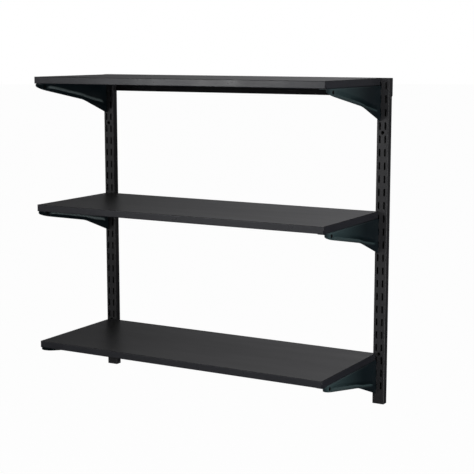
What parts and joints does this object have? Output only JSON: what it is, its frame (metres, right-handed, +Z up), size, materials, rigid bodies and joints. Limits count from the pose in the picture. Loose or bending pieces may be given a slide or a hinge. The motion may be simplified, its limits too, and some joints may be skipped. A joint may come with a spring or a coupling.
{
  "type": "twin-slot wall shelving unit",
  "caption": "Wall-hung shelving: laminated boards on folded steel brackets that hook into a pair of slotted uprights under a hang rail.",
  "frame": {"origin": "middle of the hang rail's back face, on the wall plane", "axes": "+X along the wall, towards the right-hand upright seen from the room; +Y into the wall; +Z up"},
  "size_m": [0.8306, 0.327, 0.8],
  "materials": {
    "rail": "satin black powder coat",
    "upright": "satin black powder coat, fine texture",
    "bracket": "satin black powder coat, slightly glossier than the uprights",
    "board": "black melamine-faced particle board, satin with fine pore texture",
    "edge_band": "black plastic edging, satin",
    "screw": "black zinc",
    "plug": "black plastic, dull"
  },
  "bodies": {
    "wall_frame": {"hang_rail": "rail", "upright_left": "upright", "upright_right": "upright"},
    "top_shelf": {"top_bracket_left": "bracket", "top_nose_plug_left": "plug", "top_bracket_right": "bracket", "top_nose_plug_right": "plug", "top_board": "board", "top_front_band": "edge_band", "top_back_band": "edge_band", "top_left_band": "edge_band", "top_right_band": "edge_band", "top_screw_left_front": "screw", "top_screw_left_rear": "screw", "top_screw_right_front": "screw", "top_screw_right_rear": "screw"},
    "middle_shelf": {"middle_bracket_left": "bracket", "middle_nose_plug_left": "plug", "middle_bracket_right": "bracket", "middle_nose_plug_right": "plug", "middle_board": "board", "middle_front_band": "edge_band", "middle_back_band": "edge_band", "middle_left_band": "edge_band", "middle_right_band": "edge_band", "middle_screw_left_front": "screw", "middle_screw_left_rear": "screw", "middle_screw_right_front": "screw", "middle_screw_right_rear": "screw"},
    "bottom_shelf": {"bottom_bracket_left": "bracket", "bottom_nose_plug_left": "plug", "bottom_bracket_right": "bracket", "bottom_nose_plug_right": "plug", "bottom_board": "board", "bottom_front_band": "edge_band", "bottom_back_band": "edge_band", "bottom_left_band": "edge_band", "bottom_right_band": "edge_band", "bottom_screw_left_front": "screw", "bottom_screw_left_rear": "screw", "bottom_screw_right_front": "screw", "bottom_screw_right_rear": "screw"}
  },
  "joints": [
    {"name": "top_shelf_lift", "type": "slide", "parent": "wall_frame", "child": "top_shelf", "axis": [0, 0, 1], "range_m": [0, 0.0075]},
    {"name": "middle_shelf_lift", "type": "slide", "parent": "wall_frame", "child": "middle_shelf", "axis": [0, 0, 1], "range_m": [0, 0.0075]},
    {"name": "bottom_shelf_lift", "type": "slide", "parent": "wall_frame", "child": "bottom_shelf", "axis": [0, 0, 1], "range_m": [0, 0.0075]}
  ]
}
